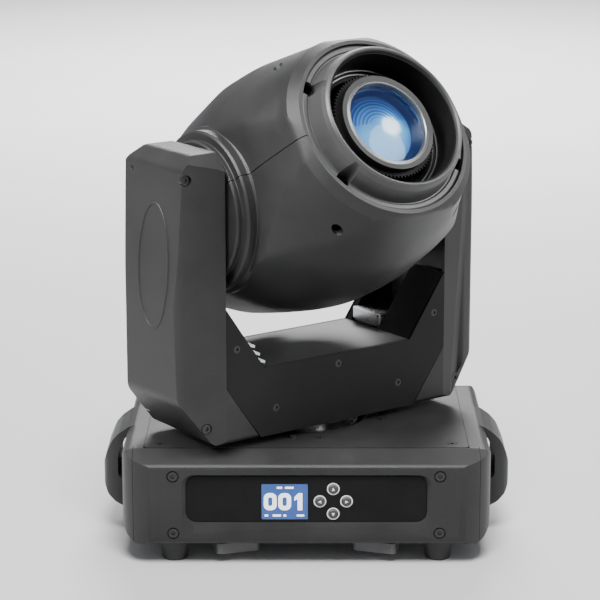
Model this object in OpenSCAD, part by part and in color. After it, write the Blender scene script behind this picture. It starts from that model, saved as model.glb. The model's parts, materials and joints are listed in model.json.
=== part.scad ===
// Moving head light: a base with side handles, a yoke that pans on it and a
// spot head that tilts between the yoke's arms.
// Z is up, the origin is on the pan axis at floor level, the display faces -Y.

/* [Stance] */
// Pan angle at which the light stands, anticlockwise from above
pan_rest = 36.2; // [-90:0.1:90]
// Aim of the head above level
tilt_rest = 35.5; // [0:0.5:80]

/* [Base] */
// Width of the base without its handles
base_w = 278; // [276:1:284]
// Depth of the base
base_d = 208; // [206:1:212]
// Height of the base's top face
base_top = 86.5; // [86:0.5:88]
// Height of the rubber feet
foot_h = 15; // [14:1:16]
// Reach of each handle from the middle
handle_reach = 158; // [156:1:162]
// Wall of the moulded covers
wall = 3; // [2.5:0.5:3]

/* [Yoke] */
// Height of the tilt axis
tilt_z = 261; // [260:1:264]
// Half of the clear width between the arms
arm_in = 103.7; // [103.5:0.1:104.5]
// Half of the width over the arms
arm_out = 141; // [140:1:143]
// Height of the arms' tops
arm_top = 311.5; // [310:0.5:314]
// Height of the floor between the arms
floor_z = 146; // [144:1:147]
// Half of the depth of the yoke
yoke_d2 = 42; // [41:0.5:44]

/* [Head] */
// Reach of the front bezel's lip from the tilt axis
lip_s = 134.5; // [133:0.5:137]
// Radius of the shells' front rim
rim_r = 71.5; // [71:0.5:73]
// Radius of the front lens
lens_r = 33.5; // [32:0.5:34]

/* [Hidden] */
$fn = 64;

charcoal = [0.13, 0.13, 0.135];
gap = 0.25;              // half of the joint line between two mouldings
shank_r = 1.1;           // radius of every small screw's shank
socket_depth = 1;        // depth of the hexagon in a screw's head
run = 0.05;              // radial running clearance of a shaft in its bearing
end_y = base_d / 2;
side_x = base_w / 2;
cap_x = 122;             // joint between the top panel and a side cap
cap_front_x = 130;       // the same joint on the front and rear faces
flat_y = 84;             // half of the depth of the base's flat top
bevel_drop = 8.8;
low_r = 8;               // radius along the lower front and rear edges
low_side_r = 16;         // radius along the lower side edges
corner_r = 28;           // radius of the base's upright corners
foot_x = 99.5;
foot_y = 84;
panel_y = -101.8;        // front of the control panel
panel_back = -99;
buttons_at = [[20, 59.8], [20, 40.4], [10.1, 50.1], [29.9, 50.1]];
lcd_at = [-16.2, 49.8];
socket_z = 50;
handle_seat = 155;       // seat of the handles' screws
hub_r = 20;
hub_screw_angles = [-10, 10, 80, 100, 170, 190, 260, 280];
pan_teeth = 110;
pan_motor_teeth = 22;
tilt_teeth = 96;
tilt_motor_teeth = 16;
belt_pitch = 2;
pulley_z = 106;
pulley_h = 12;
pan_motor_at = [88, 16.5];
motor_w = 35;
tilt_motor_z = 150;
upright_x = 108;
trunnion_r = 12.45;
tilt_pulley_x = 115.5;
slope_x = 69.3;          // the floor is flat to here, then climbs to the arms
slope_top = 195.3;
wing_x = 73.5;           // the arms' lower wings reach in to here
wing_top = 134.4;
yoke_low = 92;
plate_seat = -40.6;
slope_rise = (slope_top - floor_z) / (arm_in - slope_x);
hub_end = 101;           // outer end of the head's hubs
wheel_at = [26, 0, 26];  // axis of the filter wheels in the head
wheel_pin_r = 2.5;
post_seat = 57;          // height at which the shells' screws sit
shell_front = 118;
split = 0.2;

function arc(c, r, a0, a1, n = 8) =
    [for (i = [0:n]) let (a = a0 + (a1 - a0) * i / n) [c[0] + r * cos(a), c[1] + r * sin(a)]];
function pitch_r(teeth) = teeth * belt_pitch / (2 * PI);
function mirrored(half) =
    concat(half, [for (i = [len(half) - 1:-1:0]) [-half[i][0], half[i][1]]]);

// ---------- shared shapes ----------

// Plate with rounded upright edges, standing on z = 0
module rounded_plate(w, d, h, r) {
    cube_at([-w / 2 + r, -d / 2, 0], [w - 2 * r, d, h]);
    cube_at([-w / 2, -d / 2 + r, 0], [w, d - 2 * r, h]);
    for (x = [-1, 1], y = [-1, 1])
        translate([x * (w / 2 - r), y * (d / 2 - r), 0]) cylinder(h = h, r = r);
}

module cube_at(low, size) {
    translate(low) cube(size);
}

module tube(h, outer, inner) {
    difference() {
        cylinder(h = h, r = outer);
        translate([0, 0, -1]) cylinder(h = h + 2, r = inner);
    }
}

// An outline in x and z, pushed along Y from y0 to y1
module along_y(y0, y1) {
    translate([0, y1, 0]) rotate([90, 0, 0]) linear_extrude(y1 - y0) children();
}

// An outline in y and z, pushed along X from x0 to x1
module along_x(x0, x1) {
    translate([x0, 0, 0]) rotate([90, 0, 90]) linear_extrude(x1 - x0) children();
}

module both_sides() {
    children();
    mirror([1, 0, 0]) children();
}

// Rod along +X
module x_rod(x0, x1, r) {
    translate([x0, 0, 0]) rotate([0, 90, 0]) cylinder(h = x1 - x0, r = r);
}

// Rod along +Y
module y_rod(y0, y1, r) {
    translate([0, y0, 0]) rotate([-90, 0, 0]) cylinder(h = y1 - y0, r = r);
}

// Pan head screw, its head's seat at z = 0 and its shank below
module screw(head_r, head_h, shank_l) {
    difference() {
        union() {
            cylinder(h = head_h, r = head_r);
            translate([0, 0, -shank_l]) cylinder(h = shank_l + 0.1, r = shank_r);
        }
        translate([0, 0, head_h - socket_depth]) cylinder(h = 2, r = head_r * 0.5, $fn = 6);
    }
}

// What a screw needs: a hole of radius seat_r above z = 0 and one for its shank below
module screw_seat(seat_r, up, down) {
    cylinder(h = up, r = seat_r);
    translate([0, 0, -down]) cylinder(h = down + 0.1, r = shank_r + 0.3);
}

// Closed belt round two pulleys, the second at distance d along X
module belt(r1, r2, d, thick, h) {
    difference() {
        belt_outline(r1 + thick, r2 + thick, d, h);
        translate([0, 0, -1]) belt_outline(r1, r2, d, h + 2);
    }
}

module belt_outline(r1, r2, d, h) {
    a = acos((r1 - r2) / d);
    q1 = r1 - 0.03;
    q2 = r2 - 0.03;
    linear_extrude(h) {
        circle(r = r1);
        translate([d, 0]) circle(r = r2);
        polygon([[q1 * cos(a), q1 * sin(a)], [d + q2 * cos(a), q2 * sin(a)],
            [d + q2 * cos(a), -q2 * sin(a)], [q1 * cos(a), -q1 * sin(a)]]);
    }
}

// Flanged belt pulley standing on z = 0
module pulley(r, h, bore, flange = 1.8) {
    difference() {
        union() {
            cylinder(h = h, r = r);
            cylinder(h = 1.5, r = r + flange);
            translate([0, 0, h - 1.5]) cylinder(h = 1.5, r = r + flange);
        }
        translate([0, 0, -1]) cylinder(h = h + 2, r = bore);
    }
}

// Square stepper motor, its shaft pointing down from z = 0, its body above
module stepper(w, body_h, shaft_l) {
    translate([0, 0, body_h * 0.25]) rounded_plate(w - 1, w - 1, body_h * 0.5, 3.5);
    rounded_plate(w, w, body_h * 0.25, 2.5);
    translate([0, 0, body_h * 0.75]) rounded_plate(w, w, body_h * 0.25, 2.5);
    translate([0, 0, -2]) cylinder(h = 2.1, r = 11);
    translate([0, 0, -shaft_l]) cylinder(h = shaft_l, r = 2.5);
}

// ---------- base ----------

function base_side_outline(i, bottom) = mirrored(concat(
    [[end_y - low_r, bottom]],
    arc([end_y - low_r, foot_h + low_r], low_r - i, -90, 0),
    [[end_y - i, base_top - bevel_drop - i * 0.4], [flat_y - i * 0.5, base_top - i]]));

function base_front_outline(i, bottom) = mirrored(concat(
    [[side_x - low_side_r, bottom]],
    arc([side_x - low_side_r, foot_h + low_side_r], low_side_r - i, -90, 0),
    arc([side_x - 7, base_top - 7], 7 - i, 0, 90)));

// The whole body of the base, drawn in by i and reaching down to bottom
module base_body(i, bottom) {
    intersection() {
        along_x(-side_x, side_x) polygon(base_side_outline(i, bottom));
        along_y(-end_y, end_y) polygon(base_front_outline(i, bottom));
        translate([0, 0, bottom]) rounded_plate(base_w - 2 * i, base_d - 2 * i, 100, corner_r - i);
    }
}

module base_skin() {
    difference() {
        base_body(0, foot_h);
        base_body(wall, foot_h - 3);
    }
}

// The part of space that belongs to both side caps
module cap_space(grow) {
    both_sides() {
        cube_at([cap_front_x - grow, -120, 0], [60, 240, 100]);
        cube_at([cap_x - grow, -80 - grow, 0], [60, 160 + 2 * grow, 100]);
    }
}

module top_space(grow) {
    cube_at([-cap_x - grow, -flat_y - grow, base_top - wall - 0.05],
        [2 * (cap_x + grow), 2 * (flat_y + grow), 10]);
}

module end_cover() {
    difference() {
        base_skin();
        cap_space(gap);
        top_space(gap);
        cube_at([-200, -flat_y + 4, 0], [400, 400, 100]);
    }
}

module front_cover() {
    color(charcoal) difference() {
        end_cover();
        translate([0, -95, 52]) rotate([90, 0, 0]) rounded_plate(180, 36, 20, 8);
        along_x(-82, 82) polygon([[-101.2, 34.2], [-110, 34.2], [-110, 25], [-104, 25]]);
        for (p = cover_screws()) translate([p[0], -102.2, p[1]]) rotate([90, 0, 0])
            screw_seat(4.6, 5, 9);
    }
}

function cover_screws() = [for (x = [-1, 1], z = [25.6, 70]) [x * foot_x, z]];

module rear_cover() {
    color(charcoal) difference() {
        rotate([0, 0, 180]) end_cover();
        for (x = socket_columns()) translate([x, 0, socket_z]) y_rod(95, 110, 12);
        translate([-28, 0, socket_z]) y_rod(95, 110, 7);
        for (i = [0:7]) cube_at([-110 + i * 8, 95, 22], [3, 20, 8]);
    }
}

function socket_columns() = [-96, -62, 4, 38, 72, 106];

module side_cap() {
    color(charcoal) difference() {
        union() {
            difference() {
                intersection() {
                    base_skin();
                    cap_space(0);
                }
                cube_at([-200, -200, 0], [200, 400, 100]);
            }
            intersection() {
                base_body(0, foot_h);
                cube_at([126, -35, 40], [20, 70, 60]);
            }
            handle();
        }
        finger_gap();
        translate([handle_seat, 0, 36]) rotate([0, 90, 0]) screw_seat(6, 10, 13);
    }
}

function handle_outline() = [[130, 20], [141, 20], [149, 24.5], [155, 30], [handle_reach, 37.5],
    [handle_reach, 54], [handle_reach - 2.5, 63], [151, 73.5], [145.5, 79.5], [138.5, 84.5],
    [133, 86.4], [130, 86.4]];

module handle() {
    intersection() {
        along_y(-27, 27) polygon(handle_outline());
        translate([0, 0, 10]) rounded_plate(2 * handle_reach + 0.02, 54, 100, 10);
    }
}

module finger_gap() {
    along_y(-33, 33) polygon(concat(
        arc([134, 48], 5, 180, 270), arc([141.5, 48], 5, 270, 360),
        [[146.5, 62], [142, 72]], arc([135, 75.5], 3.5, 60, 90), arc([132, 76], 3, 90, 180)));
}

module top_cover() {
    color(charcoal) difference() {
        rounded_top();
        translate([0, 0, 80]) cylinder(h = 10, r = 45);
        for (p = top_screws()) translate([p[0], p[1], base_top - 1.2]) screw_seat(3.6, 3, 5);
        for (a = hub_screw_angles) rotate([0, 0, a])
            translate([60, 0, base_top]) screw_seat(1, 1, 5);
    }
}

function top_screws() = [for (x = [-1, 1], y = [-1, 1]) [x * 110, y * 74]];

module rounded_top() {
    translate([0, 0, base_top - wall])
        rounded_plate(2 * cap_x - 2 * gap, 2 * flat_y - 2 * gap, wall, 2);
}

module base_plate() {
    color("dimgray") difference() {
        union() {
            translate([0, 0, foot_h]) rounded_plate(244, 191, 2, 6);
            for (a = [0, 180], x = [-1, 1]) rotate([0, 0, a])
                translate([x * 53, -86, 7]) rotate([0, 0, -x * 18]) rounded_plate(34, 17, 8, 4);
        }
        for (x = [-1, 1], y = [-1, 1]) translate([x * 53, y * 86, 0]) cylinder(h = 30, r = 7.02);
        for (x = [-1, 1], y = [-1, 1]) translate([x * foot_x, y * foot_y, 0]) cylinder(h = 30, r = 2.6);
        for (i = [0:6]) cube_at([-30 + i * 9, -20, 10], [4, 40, 12]);
    }
}

module feet() {
    color([0.05, 0.05, 0.05])
        for (x = [-1, 1], y = [-1, 1]) translate([x * foot_x, y * foot_y, 0])
            rotate_extrude() polygon([[4.5, 0], [9, 0], [9.6, 1], [11.6, 12], [12, foot_h],
                [2.5, foot_h], [2.5, 7], [4.5, 7]]);
}

module bracket_sockets() {
    color("silver")
        for (x = [-1, 1], y = [-1, 1]) translate([x * 53, y * 86, 7]) tube(11, 7, 4.5);
}

module safety_eye() {
    color("silver") difference() {
        union() {
            along_y(40, 43) polygon(concat([[-14, foot_h]], arc([0, 9], 7, 180, 360), [[14, foot_h]]));
            cube_at([-14, 34, foot_h - 1.5], [28, 9, 1.5]);
        }
        translate([0, 0, 9]) y_rod(39, 44, 4);
        cube_at([-20, 30, foot_h], [40, 20, 5]);
    }
}

module power_supply() {
    color("silver") difference() {
        cube_at([-116, -62, 17], [54, 124, 42]);
        for (i = [0:9]) cube_at([-110, -56 + i * 12, 57], [42, 5, 5]);
    }
}

module main_board() {
    color("darkgreen") {
        cube_at([62, -60, 22], [52, 120, 1.6]);
        cube_at([70, -40, 23.6], [14, 14, 3]);
        cube_at([92, 10, 23.6], [10, 30, 8]);
        for (x = [66, 110], y = [-54, 54]) translate([x, y, 17]) cylinder(h = 5, r = 3);
    }
}

module power_sockets() {
    color([0.2, 0.3, 0.6]) for (x = [-96, -62]) translate([x, 0, socket_z]) rear_socket(26, 30, 5);
}

module data_sockets() {
    color([0.25, 0.25, 0.25])
        for (x = [4, 38, 72, 106]) translate([x, 0, socket_z]) rear_socket(26, 31, 9.5);
}

// Flanged round socket in the rear wall, its face towards +Y
module rear_socket(w, h, mouth_r) {
    difference() {
        union() {
            translate([0, end_y + 2, 0]) rotate([90, 0, 0]) rounded_plate(w, h, 2, 3);
            y_rod(end_y - 22, end_y + 1, 11.6);
        }
        y_rod(end_y - 1.4, end_y + 5, mouth_r);
    }
}

module fuse_holder() {
    color([0.07, 0.07, 0.07]) translate([-28, 0, socket_z]) {
        y_rod(end_y - 24, end_y + 0.1, 6.8);
        y_rod(end_y, end_y + 5, 8);
    }
}

module control_panel() {
    color([0.1, 0.1, 0.11]) difference() {
        union() {
            translate([0, panel_back, 52]) rotate([90, 0, 0])
                rounded_plate(179.2, 35.2, panel_back - panel_y, 7.7);
            translate([0, panel_back, 52]) rotate([90, 0, 0])
                rounded_plate(188, 42, 1.95, 8);
        }
        translate([lcd_at[0], -90, lcd_at[1]]) rotate([90, 0, 0]) rounded_plate(35.4, 28.4, 20, 1);
        for (b = buttons_at) translate([b[0], 0, b[1]]) y_rod(-110, -90, 3.7);
    }
}

module display() {
    color([0.05, 0.1, 0.3]) {
        translate([lcd_at[0], -96, lcd_at[1]]) rotate([90, 0, 0]) rounded_plate(35, 28, 5.4, 1);
        cube_at([lcd_at[0] - 21, -96.01, lcd_at[1] - 17], [42, 3, 34]);
    }
}

module control_board() {
    color("darkgreen") {
        cube_at([-60, -92.9, 34], [110, 1.6, 34]);
        for (b = buttons_at) translate([b[0], 0, b[1]]) y_rod(-95.2, -92.5, 1.8);
    }
}

module button(at) {
    color([0.8, 0.8, 0.8]) translate([at[0], 0, at[1]]) {
        y_rod(-103.2, -96.4, 3.4);
        y_rod(-96.8, -96, 4.6);
    }
}

module pan_bridge() {
    color("silver") difference() {
        union() {
            cube_at([-68, -80, 76], [136, 160, 3]);
            for (y = [-80, 77]) cube_at([-44, y, 17], [88, 3, 60]);
        }
        translate([0, 0, 70]) cylinder(h = 20, r = hub_r - 6);
    }
}

module pan_hub() {
    color("silver") difference() {
        union() {
            translate([0, 0, 79]) cylinder(h = 5, r = 40);
            translate([0, 0, 79]) cylinder(h = 39, r = hub_r);
        }
        translate([0, 0, 70]) cylinder(h = 60, r = hub_r - 6);
    }
}

module pan_bearing() {
    color("gainsboro") translate([0, 0, 90]) tube(14, 30, hub_r);
}

module pan_pulley() {
    color("silver") translate([0, 0, pulley_z])
        pulley(pitch_r(pan_teeth), pulley_h, hub_r);
}

module base_screws() {
    color([0.1, 0.1, 0.1]) {
        for (p = cover_screws()) translate([p[0], -102.2, p[1]]) rotate([90, 0, 0])
            screw(3.6, 1.4, 6);
        for (p = top_screws()) translate([p[0], p[1], base_top - 1.2]) screw(3.3, 1.2, 6);
        for (x = [-1, 1]) translate([x * handle_seat, 0, 36]) rotate([0, x * 90, 0])
            screw(5.2, 2.4, 12);
        for (a = hub_screw_angles) rotate([0, 0, a])
            translate([60, 0, base_top]) screw(2.6, 1.6, 6);
    }
}

// ---------- yoke ----------

module in_yoke() {
    rotate([0, 0, pan_rest]) children();
}

function arm_front_outline(i) = [
    [arm_in - i * 20, arm_top - i], [arm_in + 22 - i * 0.3, arm_top - i],
    [arm_out - 5.3 - i, 302 - i * 0.4], [arm_out - i, 200], [arm_out - 1.5 - i, 133],
    [114 - i * 0.6, yoke_low + i], [wing_x - i * 10, yoke_low + i],
    [i == 0 ? arm_in : wing_x - i * 10, i == 0 ? wing_top : yoke_low + i + 1]];

function arm_plan_outline(i) = [[20, -yoke_d2 + i], [arm_in, -yoke_d2 + i],
    [arm_out, -33 + i], [arm_out, 33 - i], [arm_in, yoke_d2 - i], [20, yoke_d2 - i]];

function arm_side_outline(i) = [[-yoke_d2, yoke_low], [yoke_d2, yoke_low], [yoke_d2, 299.5 - i],
    [30, arm_top - i], [-30, arm_top - i], [-yoke_d2, 299.5 - i]];

module arm_body(i) {
    intersection() {
        along_y(-yoke_d2, yoke_d2) polygon(arm_front_outline(i));
        linear_extrude(400) polygon(arm_plan_outline(i));
        along_x(20, arm_out) polygon(arm_side_outline(i));
    }
}

// Screws of the arm covers: [x, height, seat's distance from the middle]
function arm_screws() = [[133, 294, 32], [119.5, 106, 36]];

module arm_cover() {
    color(charcoal) difference() {
        union() {
            difference() {
                arm_body(0);
                arm_body(wall);
            }
            for (a = [0, 180], p = arm_screws()) intersection() {
                arm_body(0.5);
                translate([p[0], 0, p[1]]) rotate([a, 0, 0]) y_rod(-yoke_d2, 4 - p[2], 6.5);
            }
        }
        for (a = [0, 180], p = arm_screws()) translate([p[0], 0, p[1]]) rotate([90 + a, 0, 0])
            translate([0, 0, p[2]]) screw_seat(4.2, 20, 8);
    }
}

module left_arm_cover() {
    in_yoke() mirror([1, 0, 0]) arm_cover();
}

module right_arm_cover() {
    in_yoke() arm_cover();
}

module arm_panel() {
    color([0.1, 0.1, 0.1]) difference() {
        along_x(arm_in, arm_in + 2) polygon([[-38.6, 197], [38.6, 197], [38.6, 298],
            [29, 308.2], [-29, 308.2], [-38.6, 298]]);
        translate([0, 0, tilt_z]) x_rod(90, 120, 17);
    }
}

module left_arm_panel() {
    in_yoke() mirror([1, 0, 0]) arm_panel();
}

module right_arm_panel() {
    in_yoke() arm_panel();
}

function plate_outline() = mirrored([[wing_x - 0.6, yoke_low + 0.5],
    [arm_in - gap, wing_top - 0.1], [arm_in - gap, slope_top], [slope_x, floor_z]]);

module yoke_plate() {
    color(charcoal) difference() {
        along_y(-yoke_d2, -yoke_d2 + 2.5) polygon(plate_outline());
        for (p = plate_screws()) translate([p[0], plate_seat, p[1]]) rotate([90, 0, 0])
            screw_seat(3.2, 5, 5);
    }
}

function plate_screws() = [[0, 138], [-94, 164], [94, 164], [-58.5, 113], [58.5, 113]];

module yoke_front_plate() {
    in_yoke() yoke_plate();
}

module yoke_rear_plate() {
    in_yoke() rotate([0, 0, 180]) yoke_plate();
}

module yoke_floor() {
    color([0.05, 0.05, 0.05]) in_yoke() difference() {
        along_y(-39.2, 39.2) polygon(mirrored([[slope_x - 1, floor_z - 2],
            [arm_in - gap, slope_top - 3.2], [arm_in - gap, slope_top], [slope_x, floor_z]]));
        translate([pan_motor_at[0], pan_motor_at[1], 100])
            rounded_plate(motor_w + 2, motor_w + 2, 100, 3);
        for (i = [0:2]) translate([-slope_x - (4 + i * 8) / slope_rise, -30, floor_z + 4 + i * 8])
            cube([10, 18, 3.4], center = true);
    }
}

module yoke_frame() {
    color([0.35, 0.35, 0.36]) in_yoke() difference() {
        union() {
            cube_at([-upright_x - 2.5, -32, 95.5], [2 * upright_x + 5, 64, 3]);
            translate([0, 0, 89]) cylinder(h = 15, r = 36);
            both_sides() {
                cube_at([upright_x, -30, 95.5], [2.5, 60, 200]);
                translate([0, 0, tilt_z]) x_rod(upright_x - 1, upright_x + 6, 23);
            }
            cube_at([68, -2.5, 119.5], [41, 38, 2.5]);
        }
        translate([0, 0, 80]) cylinder(h = 40, r = 30 + run);
        translate([0, 0, tilt_z]) x_rod(-120, 120, 18.5);
        translate([pan_motor_at[0], pan_motor_at[1], 110]) cylinder(h = 20, r = 11.3);
        translate([0, 0, tilt_motor_z]) x_rod(-115, -100, 11.3);
    }
}

module pan_motor() {
    color("silver") in_yoke() translate([pan_motor_at[0], pan_motor_at[1], 122])
        stepper(motor_w, 35, 16.5);
}

module pan_motor_pulley() {
    color("gold") in_yoke() translate([pan_motor_at[0], pan_motor_at[1], pulley_z])
        pulley(pitch_r(pan_motor_teeth), pulley_h, 2.5 + run);
}

module pan_belt() {
    d = norm(pan_motor_at);
    color([0.08, 0.08, 0.08]) in_yoke() translate([0, 0, pulley_z + 2.5])
        rotate([0, 0, atan2(pan_motor_at[1], pan_motor_at[0])])
            belt(pitch_r(pan_teeth) + 0.35, pitch_r(pan_motor_teeth) + 0.35, d, 1.2, pulley_h - 5);
}

module tilt_motor() {
    color("silver") in_yoke() translate([-upright_x, 0, tilt_motor_z])
        rotate([0, 90, 0]) stepper(motor_w, 20, 17);
}

module tilt_motor_pulley() {
    color("gold") in_yoke() translate([-tilt_pulley_x, 0, tilt_motor_z]) rotate([0, -90, 0])
        pulley(pitch_r(tilt_motor_teeth), 9, 2.5 + run);
}

module tilt_belt() {
    color([0.08, 0.08, 0.08]) in_yoke() translate([-tilt_pulley_x - 2, 0, tilt_z])
        rotate([0, -90, 0]) rotate([0, 0, 180])
            belt(pitch_r(tilt_teeth) + 0.35, pitch_r(tilt_motor_teeth) + 0.35,
                tilt_z - tilt_motor_z, 1.2, 5);
}

module tilt_bearings() {
    color("gainsboro") in_yoke() both_sides() translate([upright_x - 1, 0, tilt_z])
        rotate([0, 90, 0]) tube(7, 18.5, trunnion_r + run);
}

module yoke_screws() {
    color([0.1, 0.1, 0.1]) in_yoke() {
        for (a = [0, 180]) rotate([0, 0, a]) for (p = plate_screws())
            translate([p[0], plate_seat, p[1]]) rotate([90, 0, 0]) screw(3, 1.2, 4);
        for (a = [0, 180]) rotate([0, 0, a]) both_sides() for (p = arm_screws())
            translate([p[0], -p[2], p[1]]) rotate([90, 0, 0]) screw(3.7, 2.2, 7);
    }
}

// ---------- head: lens towards -Y, top towards +Z, tilt axis along X ----------

module in_head() {
    in_yoke() translate([0, 0, tilt_z]) rotate([-tilt_rest, 0, 0]) children();
}

// Turns a profile of [radius, reach] about the lens axis
module lathe() {
    rotate([90, 0, 0]) rotate_extrude() children();
}

// Radius about the lens axis at each reach, drawn in by i
function barrel_profile(i) = [[0, -108 + i], [60 - i, -108 + i], [88 - i, -95 + i],
    [99 - i, -65], [103 - i, -30], [103 - i, 25], [94 - i, 66], [84 - i, 91], [77 - i, 104],
    [rim_r - i, i == 0 ? shell_front : 108], [0, i == 0 ? shell_front : 108]];

// Reach and height of the upper and the lower outline, seen from the side
function upper_profile(i) = [[-108 + i, 0], [-108 + i, 28], [-96 + i, 57 - i * 0.5],
    [-75, 75 - i], [-45, 86 - i], [0, 89 - i], [50, 87 - i], [84, 80 - i], [shell_front, rim_r - i],
    [shell_front, 0]];

function lower_profile(i) = [[-98 + i, 0], [-98 + i, -38], [-80, -57 + i], [-50, -74 + i],
    [-25, -83.5 + i], [8, -88 + i], [50, -87 + i], [84, -80 + i], [shell_front, -rim_r + i],
    [shell_front, 0]];

function plan_profile(i) = mirrored([[56 - i, -112 + i], [70 - i, -86 + i * 0.5], [82 - i, -66],
    [88 - i, -46], [88 - i, 55], [84.5 - i, 78], [77 - i, 100], [rim_r - i, shell_front]]);

// The belly is an arc about an axis this far above the lens axis
belly_up = 27;

function belly_profile(i) = [for (p = [[0, -112], [70, -98], [90, -80], [101, -50],
    [110.5, -25], [115, 8], [114, 50], [107, 84], [98.5, shell_front], [0, shell_front]])
    [max(0, p[0] - i), p[1]]];

module seen_from_side() {
    along_x(-120, 120) children();
}

// One half of the head's body without its hubs, drawn in by i
module upper_barrel(i) {
    intersection() {
        lathe() polygon(barrel_profile(i));
        seen_from_side() polygon([for (p = upper_profile(i)) [-p[0], p[1]]]);
        linear_extrude(240, center = true) polygon([for (p = plan_profile(i)) [p[0], -p[1]]]);
    }
}

module lower_barrel(i) {
    intersection() {
        lathe() polygon(barrel_profile(i));
        translate([0, 0, belly_up]) lathe() polygon(belly_profile(i));
        seen_from_side() polygon([for (p = lower_profile(i)) [-p[0], p[1]]]);
        linear_extrude(240, center = true) polygon([for (p = plan_profile(i)) [p[0], -p[1]]]);
    }
}

module hubs(i) {
    x_rod(-96 + i, 96 - i, 60 - i);
    x_rod(-hub_end + i, hub_end - i, 52 - i);
}

// Posts that take the screws through a shell: [x, reach]
function upper_posts() = [[-50, 90], [50, 90]];
function lower_posts() = [[-54.8, 91.8], [54.8, 91.8]];

// What is cut from either shell: trunnion hole, bezel seat and rear opening
module shell_cuts() {
    x_rod(-110, 110, 14);
    lathe() translate([0, shell_front - 6]) square([rim_r - 3.5, 10]);
    lathe() translate([0, 100]) square([61, 20]);
    lathe() translate([0, -120]) square([43, 40]);
}

module head_upper_shell() {
    color(charcoal) in_head() difference() {
        union() {
            difference() {
                union() {
                    upper_barrel(0);
                    hubs(0);
                }
                upper_barrel(wall);
                hubs(wall);
            }
            intersection() {
                upper_barrel(0.4);
                for (p = upper_posts()) translate([p[0], -p[1], 46]) cylinder(h = 40, r = 6);
            }
        }
        shell_cuts();
        for (p = upper_posts()) translate([p[0], -p[1], post_seat]) screw_seat(3.5, 40, 14);
        cube_at([-150, -150, -300 + split], [300, 300, 300]);
    }
}

module head_lower_shell() {
    color(charcoal) in_head() difference() {
        union() {
            difference() {
                union() {
                    lower_barrel(0);
                    hubs(0);
                }
                lower_barrel(wall);
                hubs(wall);
            }
            intersection() {
                lower_barrel(0.4);
                for (p = lower_posts()) translate([p[0], -p[1], -86]) cylinder(h = 40, r = 6);
            }
        }
        shell_cuts();
        for (p = lower_posts()) translate([p[0], -p[1], -post_seat]) rotate([180, 0, 0])
            screw_seat(3.5, 40, 14);
        cube_at([-150, -150, -split], [300, 300, 300]);
        cube_at([10, -13, -90], [22, 5, 3.4]);
    }
}

module front_bezel() {
    color([0.16, 0.16, 0.165]) in_head() difference() {
        lathe() polygon([[47, 98], [59, 98], [59, shell_front - 5.8], [rim_r - 3.8, shell_front - 5.8],
            [rim_r - 3.8, shell_front - 2], [62.5, shell_front - 1], [61, shell_front + 1],
            [57.5, lip_s - 4], [55.5, lip_s - 1], [53.4, lip_s], [51.2, lip_s - 1],
            [50, lip_s - 5]]);
        for (a = [35, 145, 215, 325]) rotate([0, a, 0]) translate([64, -shell_front - 1, 0])
            rotate([90, 0, 0]) bezel_pocket();
    }
}

module bezel_pocket() {
    translate([-6, -4.5, -2.5]) cube([9, 9, 20]);
    translate([-6, 0, -2.5]) cylinder(h = 20, r = 4.5);
}

module rear_grille() {
    color([0.08, 0.08, 0.08]) in_head() difference() {
        y_rod(92, 106, 42.7);
        y_rod(90, 103, 39);
        for (i = [-4:4]) let (half = sqrt(1370 - i * i * 77))
            cube_at([i * 8.6 - 2.3, 100, -half], [4.6, 20, 2 * half]);
    }
}

// Two side plates and two bulkheads; a pin on the rear one carries both filter wheels
module head_chassis() {
    color("silver") in_head() difference() {
        union() {
            both_sides() along_x(64, 66.5) polygon([[-70, -45], [45, -45], [75, -25], [75, 45],
                [-70, 45]]);
            cube_at([-66.4, 30, -40], [132.8, 2.5, 85]);
            cube_at([-66.4, -70, -45], [132.8, 2.5, 90]);
            translate(wheel_at) y_rod(-18, 31, wheel_pin_r);
        }
        y_rod(-75, -60, 40.5);
        y_rod(25, 40, 15);
    }
}

module trunnions() {
    color("gainsboro") in_head() both_sides() difference() {
        union() {
            x_rod(66.5, 71, 30);
            x_rod(70, 126, trunnion_r);
        }
        x_rod(60, 130, 8);
    }
}

module tilt_pulley() {
    color("silver") in_head() translate([-tilt_pulley_x, 0, 0]) rotate([0, -90, 0])
        pulley(pitch_r(tilt_teeth), 9, trunnion_r, 1.4);
}

module lens_barrel() {
    color([0.06, 0.06, 0.06]) in_head() lathe()
        polygon([[36, 30], [38, 30], [38, 70], [42, 70], [42, 74], [38, 74], [38, lip_s - 11],
            [lens_r + 0.2, lip_s - 11], [lens_r + 0.2, lip_s - 13], [36, lip_s - 13]]);
}

module focus_ring() {
    color([0.04, 0.04, 0.04]) in_head() difference() {
        translate([0, -106, 0]) rotate([90, 0, 0]) tube(10, 44.5, 38.2);
        for (i = [0:47]) rotate([0, i * 7.5, 0]) translate([45, -105, 0]) rotate([90, 0, 0])
            cylinder(h = 12, r = 1.2, $fn = 4);
    }
}

module front_lens() {
    color([0.3, 0.5, 0.9]) in_head() lathe() polygon(concat([[0, lip_s - 26], [lens_r, lip_s - 26],
        [lens_r, lip_s - 17]], [for (i = [1:8]) let (r = lens_r * (1 - i / 8))
            [r, lip_s - 17 + 6 * (1 - pow(r / lens_r, 2))]]));
}

module focus_carriage() {
    color([0.5, 0.6, 0.7]) in_head() lathe()
        polygon([[0, 52], [33, 52], [33, 47], [35.6, 47], [35.6, 62], [33, 62], [33, 57], [0, 60]]);
}

module led_engine() {
    color("gold") in_head() {
        cube_at([-24, 26, -24], [48, 4, 48]);
        y_rod(14, 26.2, 12);
    }
}

module heat_sink() {
    color("gray") in_head() difference() {
        cube_at([-40, 32.5, -38], [80, 42.5, 76]);
        for (i = [0:9]) cube_at([-37 + i * 7.8, 40, -40], [4, 40, 80]);
    }
}

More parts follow.
